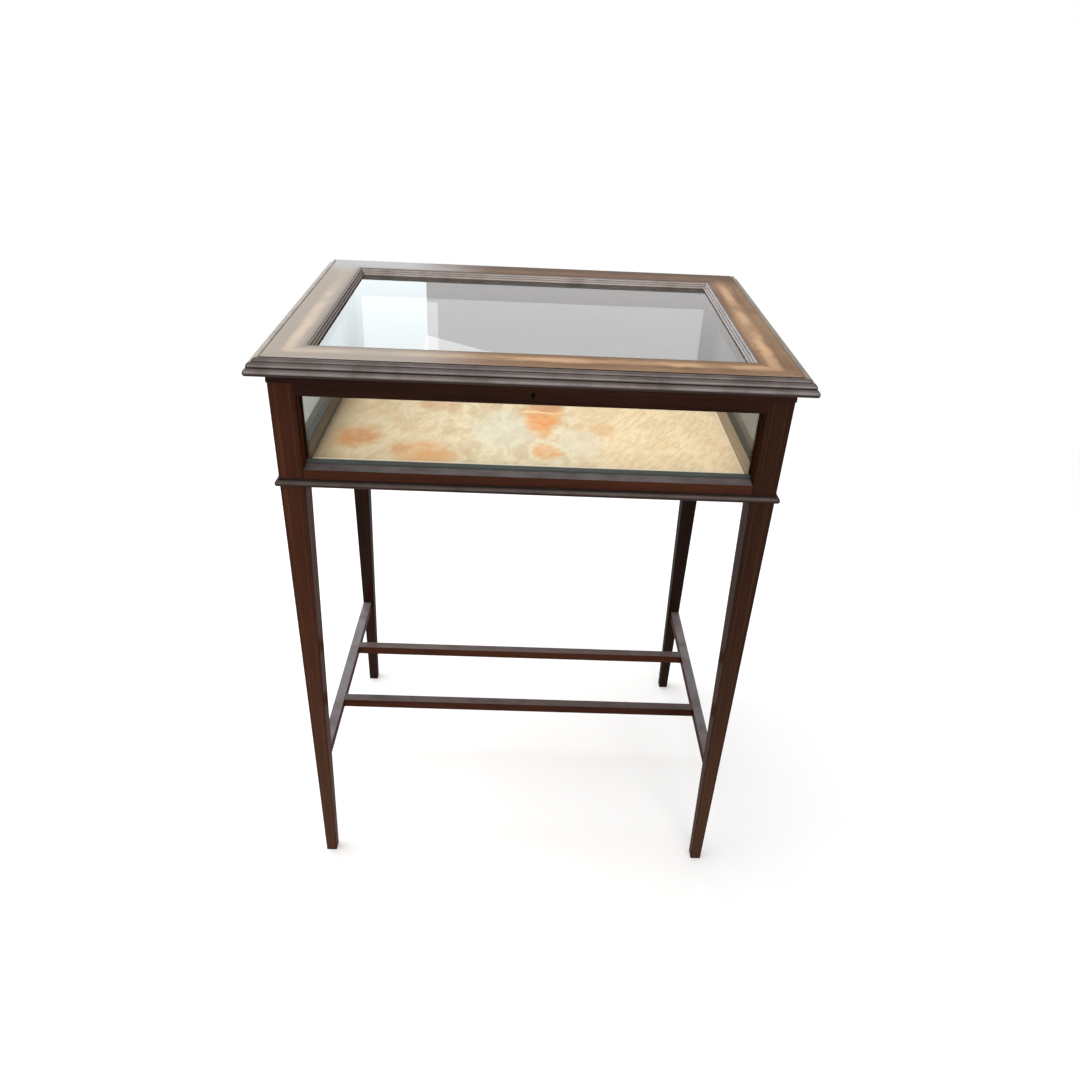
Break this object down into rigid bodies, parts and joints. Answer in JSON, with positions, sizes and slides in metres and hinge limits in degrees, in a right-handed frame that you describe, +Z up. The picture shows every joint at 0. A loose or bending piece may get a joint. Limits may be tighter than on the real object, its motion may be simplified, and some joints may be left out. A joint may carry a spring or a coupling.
{
  "type": "collectors display table",
  "caption": "Small wooden table with a shallow glazed case on tapered legs, a hinged glazed lid with reeded mouldings, and stretchers near the floor.",
  "frame": {"origin": "on the floor, at the centre of the rectangle that the four feet make, which is also the centre of the case; the whole object's box is centred 4.3 mm in front of it, because the lid's edge moulding runs along the front and the ends and not along the back", "axes": "+Z up, +X to the right as seen from the front, +Y from the front with the keyhole towards the back with the hinges"},
  "size_m": [0.5926, 0.427, 0.76],
  "materials": {
    "mahogany": "dark french-polished mahogany",
    "faded_mahogany": "faded and worn polish on the lid's flat bars",
    "pine": "bare softwood board",
    "glass": "clear plate glass",
    "lining": "stained cream damask over a thin pad",
    "brass": "dull brass",
    "steel": "plain steel screws"
  },
  "bodies": {
    "case": {"base_board": "pine", "base_lining": "lining", "base_moulding_back": "mahogany", "base_moulding_front": "mahogany", "base_moulding_left": "mahogany", "base_moulding_right": "mahogany", "bottom_rail_back": "mahogany", "bottom_rail_front": "mahogany", "bottom_rail_left": "mahogany", "bottom_rail_right": "mahogany", "case_screws": "steel", "frieze_moulding_front": "mahogany", "frieze_moulding_left": "mahogany", "frieze_moulding_right": "mahogany", "glass_back": "glass", "glass_beads_back": "mahogany", "glass_beads_front": "mahogany", "glass_beads_left": "mahogany", "glass_beads_right": "mahogany", "glass_front": "glass", "glass_left": "glass", "glass_right": "glass", "hinge_case_leaf_left": "brass", "hinge_case_leaf_right": "brass", "hinge_pin_left": "brass", "hinge_pin_right": "brass", "keyhole_liner": "brass", "leg_back_left": "mahogany", "leg_back_right": "mahogany", "leg_front_left": "mahogany", "leg_front_right": "mahogany", "lock_case": "brass", "long_stretcher_back": "mahogany", "long_stretcher_front": "mahogany", "side_stretcher_left": "mahogany", "side_stretcher_right": "mahogany", "top_rail_back": "mahogany", "top_rail_front": "mahogany", "top_rail_left": "mahogany", "top_rail_right": "mahogany"},
    "lid": {"hinge_lid_leaf_left": "brass", "hinge_lid_leaf_right": "brass", "lid_bar_back": "faded_mahogany", "lid_bar_front": "faded_mahogany", "lid_bar_left": "faded_mahogany", "lid_bar_right": "faded_mahogany", "lid_edge_moulding_front": "mahogany", "lid_edge_moulding_left": "mahogany", "lid_edge_moulding_right": "mahogany", "lid_glass": "glass", "lid_glass_beads": "mahogany", "lid_screws": "steel", "lid_sight_moulding_back": "mahogany", "lid_sight_moulding_front": "mahogany", "lid_sight_moulding_left": "mahogany", "lid_sight_moulding_right": "mahogany", "link_plate": "brass"},
    "lock_bolt": {"lock_bolt": "brass"}
  },
  "joints": [
    {"name": "lid_hinge", "type": "hinge", "parent": "case", "child": "lid", "pos_m": [0, 0.2062, 0.743], "axis": [-1, 0, 0], "range_deg": [0, 95]},
    {"name": "lock_bolt_slide", "type": "slide", "parent": "case", "child": "lock_bolt", "axis": [-1, 0, 0], "range_m": [0, 0.006]}
  ]
}
